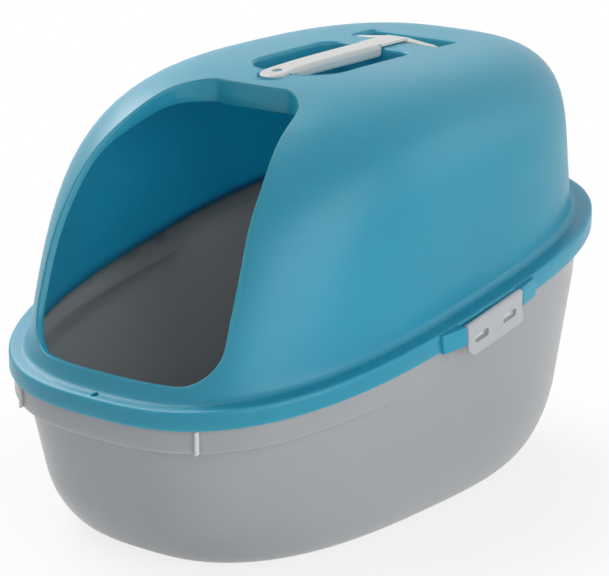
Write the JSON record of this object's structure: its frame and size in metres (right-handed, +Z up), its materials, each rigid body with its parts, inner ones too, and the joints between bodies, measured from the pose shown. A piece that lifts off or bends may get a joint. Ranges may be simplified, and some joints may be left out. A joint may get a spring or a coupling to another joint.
{
  "type": "hooded litter box",
  "caption": "Oval hooded litter box: rounded pan, lift-off hood with a front entrance, swinging side clips and a scoop stored in the top as a carrying bar.",
  "frame": {"origin": "centre of the bounding box at floor level", "axes": "+Z up, -Y towards the entrance, +X to the right as seen from the entrance"},
  "size_m": [0.3956, 0.5401, 0.3705],
  "materials": {
    "pan_grey": "satin moulded plastic",
    "hood_teal": "satin moulded plastic",
    "scoop_white": "smooth moulded plastic",
    "clip_grey": "smooth moulded plastic"
  },
  "bodies": {
    "pan_body": {"pan": "pan_grey"},
    "hood_body": {"hood": "hood_teal"},
    "scoop_body": {"scoop": "scoop_white"},
    "right_clip_body": {"right_clip": "clip_grey"},
    "left_clip_body": {"left_clip": "clip_grey"}
  },
  "joints": [
    {"name": "hood_lift", "type": "slide", "parent": "pan_body", "child": "hood_body", "axis": [0, 0, 1], "range_m": [0, 0.3]},
    {"name": "scoop_lift", "type": "slide", "parent": "hood_body", "child": "scoop_body", "axis": [0, 0, 1], "range_m": [0, 0.2]},
    {"name": "right_clip_swing", "type": "hinge", "parent": "hood_body", "child": "right_clip_body", "pos_m": [0.19364, -0.0014, 0.18931], "axis": [0, -0.9854, -0.1705], "range_deg": [0, 90]},
    {"name": "left_clip_swing", "type": "hinge", "parent": "hood_body", "child": "left_clip_body", "pos_m": [-0.19364, -0.0014, 0.18931], "axis": [0, 0.9854, 0.1705], "range_deg": [0, 90]}
  ]
}
